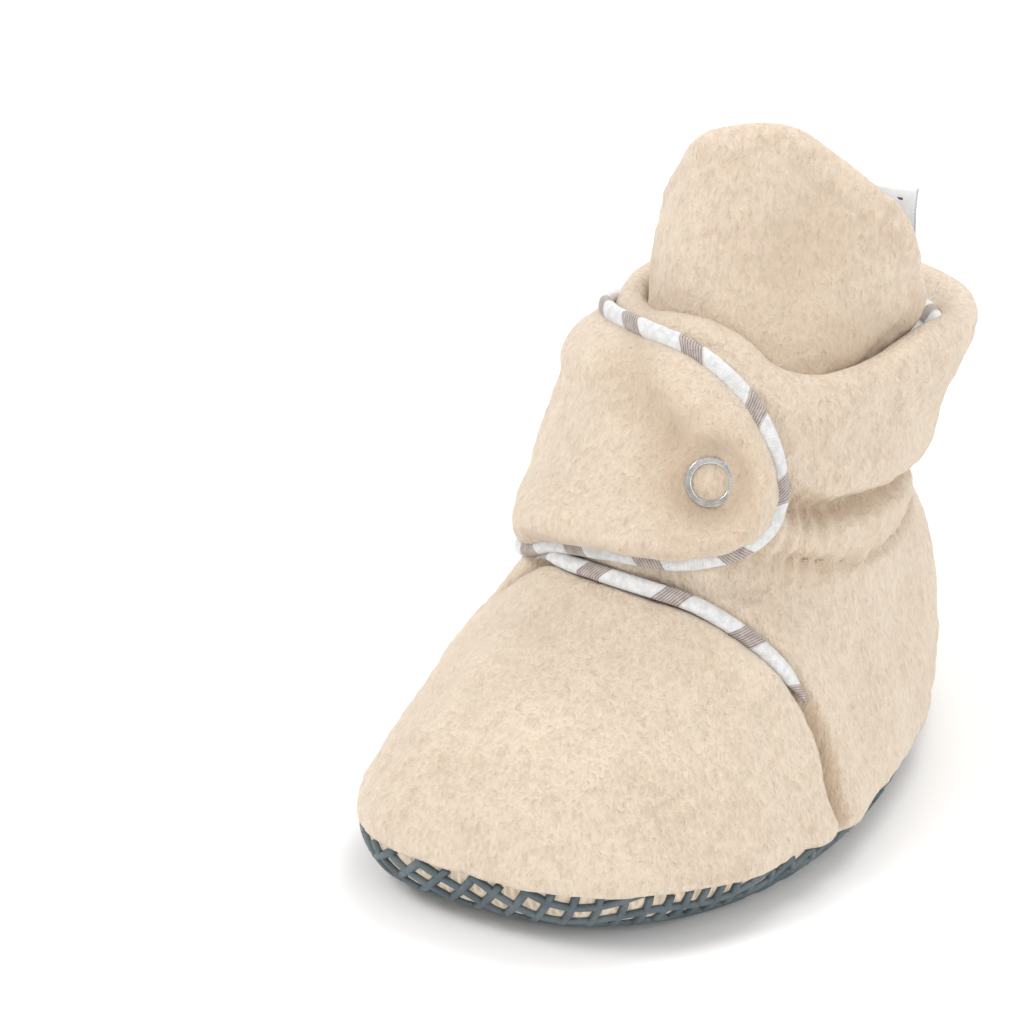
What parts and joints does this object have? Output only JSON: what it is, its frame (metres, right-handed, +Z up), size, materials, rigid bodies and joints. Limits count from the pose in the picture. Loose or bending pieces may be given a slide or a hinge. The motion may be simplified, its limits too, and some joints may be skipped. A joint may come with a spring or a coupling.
{
  "type": "baby bootie",
  "caption": "Soft plush ankle bootie for a baby, with a snap-closed front strap, a tall tongue, striped bindings and a rubber grip net sole.",
  "frame": {"origin": "middle of the boot's box, on the floor under the sole", "axes": "+Z up, toe towards -Y, heel towards +Y, closing strap snaps on the +X side"},
  "size_m": [0.0754, 0.134, 0.1079],
  "materials": {
    "plush_fleece": "cream brushed plush fleece",
    "striped_cotton": "white cotton with taupe stripes",
    "grip_rubber": "matt slate blue moulded rubber",
    "sole_cloth": "cream woven cloth",
    "foam": "soft foam",
    "elastic": "white knitted elastic",
    "interfacing": "woven reinforcement",
    "snap_steel": "polished nickel plate",
    "satin_label": "white satin ribbon"
  },
  "bodies": {
    "boot": {"grip_net": "grip_rubber", "outer_sole": "sole_cloth", "insole_foam": "foam", "insole_cover": "plush_fleece", "vamp": "plush_fleece", "vamp_lining": "striped_cotton", "heel_quarter": "plush_fleece", "quarter_lining": "striped_cotton", "ankle_elastic": "elastic", "collar_binding": "striped_cotton", "front_edge_binding": "striped_cotton", "stud_reinforcement": "interfacing", "snap_stud": "snap_steel", "snap_back_ring": "snap_steel", "tongue_base": "plush_fleece", "tongue_base_lining": "plush_fleece"},
    "strap": {"closure_strap": "plush_fleece", "strap_lining": "striped_cotton", "strap_binding": "striped_cotton", "strap_reinforcement": "interfacing", "snap_ring": "snap_steel", "snap_socket": "snap_steel"},
    "tongue": {"tongue_outer": "plush_fleece", "tongue_lining": "plush_fleece"},
    "label": {"care_label": "satin_label"}
  },
  "joints": [
    {"name": "strap_open", "type": "hinge", "parent": "boot", "child": "strap", "pos_m": [-0.02436, -0.01147, 0.0525], "axis": [-0.1006, -0.4626, -0.8808], "range_deg": [0, 120]},
    {"name": "tongue_fold", "type": "hinge", "parent": "boot", "child": "tongue", "pos_m": [0.00026, -0.00477, 0.087], "axis": [1, 0, 0], "range_deg": [-10, 50], "stiffness_Nm_per_rad": 0.01},
    {"name": "label_flip", "type": "hinge", "parent": "boot", "child": "label", "pos_m": [0.00776, 0.06186, 0.07654], "axis": [1, 0, 0], "range_deg": [-60, 60], "stiffness_Nm_per_rad": 0.0002}
  ]
}
